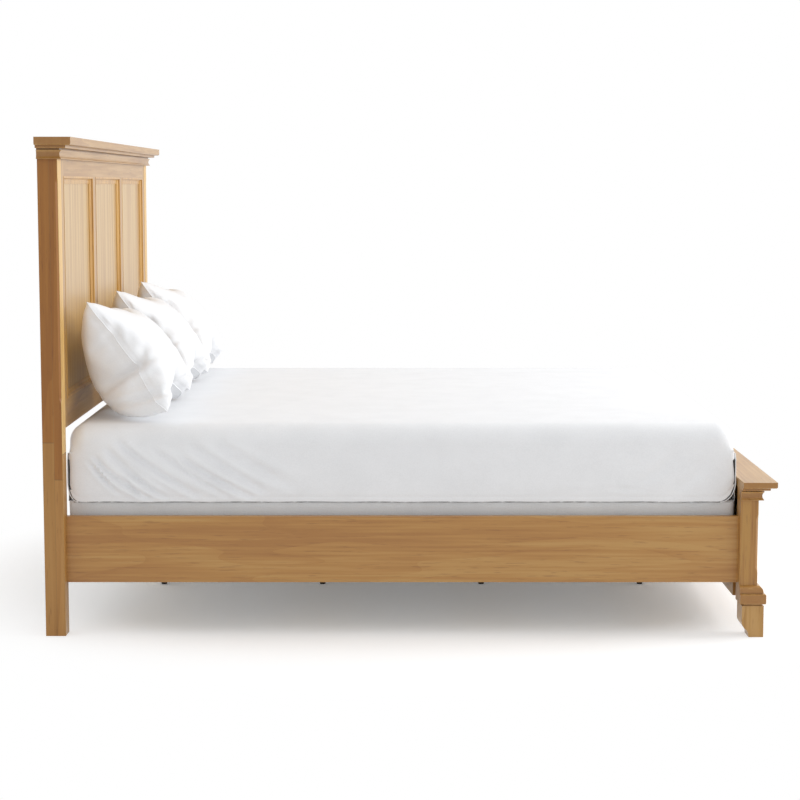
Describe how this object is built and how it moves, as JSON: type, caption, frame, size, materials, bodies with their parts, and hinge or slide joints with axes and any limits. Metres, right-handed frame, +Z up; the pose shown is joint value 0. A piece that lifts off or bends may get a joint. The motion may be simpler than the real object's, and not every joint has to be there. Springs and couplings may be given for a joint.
{
  "type": "panel bed",
  "caption": "Wooden panel bed with a tall crowned headboard, a low footboard on bracket feet, side rails, slats, foundation, mattress and pillows.",
  "frame": {"origin": "on the floor, at the middle of the bed's overall length and width", "axes": "+X from the headboard to the footboard, +Y to the right of someone who faces the bed from its foot, +Z up"},
  "size_m": [2.224, 2.176, 1.516],
  "materials": {
    "oak_upright": "satin",
    "oak_lengthwise": "satin",
    "oak_panel": "satin",
    "raw_timber": "matte",
    "zinc_steel": "satin",
    "glide_plastic": "matte",
    "foundation_cloth": "matte",
    "mattress_ticking": "matte",
    "sheet_cotton": "matte",
    "pillow_cotton": "matte"
  },
  "bodies": {
    "bed_frame": {"foot_block_left": "oak_lengthwise", "foot_block_right": "oak_lengthwise", "foot_post_left": "oak_upright", "foot_post_right": "oak_upright", "footboard_base_moulding": "oak_lengthwise", "footboard_bottom_rail": "oak_lengthwise", "footboard_cap": "oak_lengthwise", "footboard_cap_fillet": "oak_lengthwise", "footboard_mullion_left": "oak_upright", "footboard_mullion_right": "oak_upright", "footboard_neck_moulding": "oak_lengthwise", "footboard_panel_center": "oak_panel", "footboard_panel_left": "oak_panel", "footboard_panel_mouldings": "oak_lengthwise", "footboard_panel_right": "oak_panel", "footboard_stile_left": "oak_upright", "footboard_stile_right": "oak_upright", "footboard_top_rail": "oak_lengthwise", "head_post_left": "oak_upright", "head_post_right": "oak_upright", "headboard_bottom_rail": "oak_lengthwise", "headboard_cap": "oak_lengthwise", "headboard_cap_fillet": "oak_lengthwise", "headboard_mullion_left": "oak_upright", "headboard_mullion_right": "oak_upright", "headboard_neck_moulding": "oak_lengthwise", "headboard_panel_center": "oak_panel", "headboard_panel_left": "oak_panel", "headboard_panel_mouldings": "oak_lengthwise", "headboard_panel_right": "oak_panel", "headboard_stile_left": "oak_upright", "headboard_stile_right": "oak_upright", "headboard_top_rail": "oak_lengthwise", "leg_inserts": "zinc_steel", "post_socket_plates": "zinc_steel", "rail_hook_plates": "zinc_steel", "rail_ledger_left": "raw_timber", "rail_ledger_right": "raw_timber", "screws": "zinc_steel", "side_rail_left": "oak_lengthwise", "side_rail_right": "oak_lengthwise", "slat_1": "raw_timber", "slat_2": "raw_timber", "slat_3": "raw_timber", "slat_4": "raw_timber", "slat_legs": "raw_timber"},
    "foundation": {"foundation": "foundation_cloth"},
    "mattress": {"mattress": "mattress_ticking", "fitted_sheet": "sheet_cotton"},
    "pillow_left": {"pillow_left": "pillow_cotton"},
    "pillow_center": {"pillow_center": "pillow_cotton"},
    "pillow_right": {"pillow_right": "pillow_cotton"},
    "leveling_glide_1": {"leveling_glide_1": "glide_plastic"},
    "leveling_glide_2": {"leveling_glide_2": "glide_plastic"},
    "leveling_glide_3": {"leveling_glide_3": "glide_plastic"},
    "leveling_glide_4": {"leveling_glide_4": "glide_plastic"},
    "leveling_glide_5": {"leveling_glide_5": "glide_plastic"},
    "leveling_glide_6": {"leveling_glide_6": "glide_plastic"},
    "leveling_glide_7": {"leveling_glide_7": "glide_plastic"},
    "leveling_glide_8": {"leveling_glide_8": "glide_plastic"}
  },
  "joints": [
    {"name": "foundation_lift", "type": "slide", "parent": "bed_frame", "child": "foundation", "axis": [0, 0, 1], "range_m": [0, 0.29]},
    {"name": "mattress_lift", "type": "slide", "parent": "foundation", "child": "mattress", "axis": [0, 0, 1], "range_m": [0, 0.12]},
    {"name": "pillow_left_lift", "type": "slide", "parent": "mattress", "child": "pillow_left", "axis": [0.6, 0, 0.8], "range_m": [0, 0.3]},
    {"name": "pillow_center_lift", "type": "slide", "parent": "mattress", "child": "pillow_center", "axis": [0.6, 0, 0.8], "range_m": [0, 0.3]},
    {"name": "pillow_right_lift", "type": "slide", "parent": "mattress", "child": "pillow_right", "axis": [0.6, 0, 0.8], "range_m": [0, 0.3]},
    {"name": "glide_screw_1", "type": "slide", "parent": "bed_frame", "child": "leveling_glide_1", "axis": [0, 0, -1], "range_m": [0, 0.012]},
    {"name": "glide_screw_2", "type": "slide", "parent": "bed_frame", "child": "leveling_glide_2", "axis": [0, 0, -1], "range_m": [0, 0.012]},
    {"name": "glide_screw_3", "type": "slide", "parent": "bed_frame", "child": "leveling_glide_3", "axis": [0, 0, -1], "range_m": [0, 0.012]},
    {"name": "glide_screw_4", "type": "slide", "parent": "bed_frame", "child": "leveling_glide_4", "axis": [0, 0, -1], "range_m": [0, 0.012]},
    {"name": "glide_screw_5", "type": "slide", "parent": "bed_frame", "child": "leveling_glide_5", "axis": [0, 0, -1], "range_m": [0, 0.012]},
    {"name": "glide_screw_6", "type": "slide", "parent": "bed_frame", "child": "leveling_glide_6", "axis": [0, 0, -1], "range_m": [0, 0.012]},
    {"name": "glide_screw_7", "type": "slide", "parent": "bed_frame", "child": "leveling_glide_7", "axis": [0, 0, -1], "range_m": [0, 0.012]},
    {"name": "glide_screw_8", "type": "slide", "parent": "bed_frame", "child": "leveling_glide_8", "axis": [0, 0, -1], "range_m": [0, 0.012]}
  ]
}
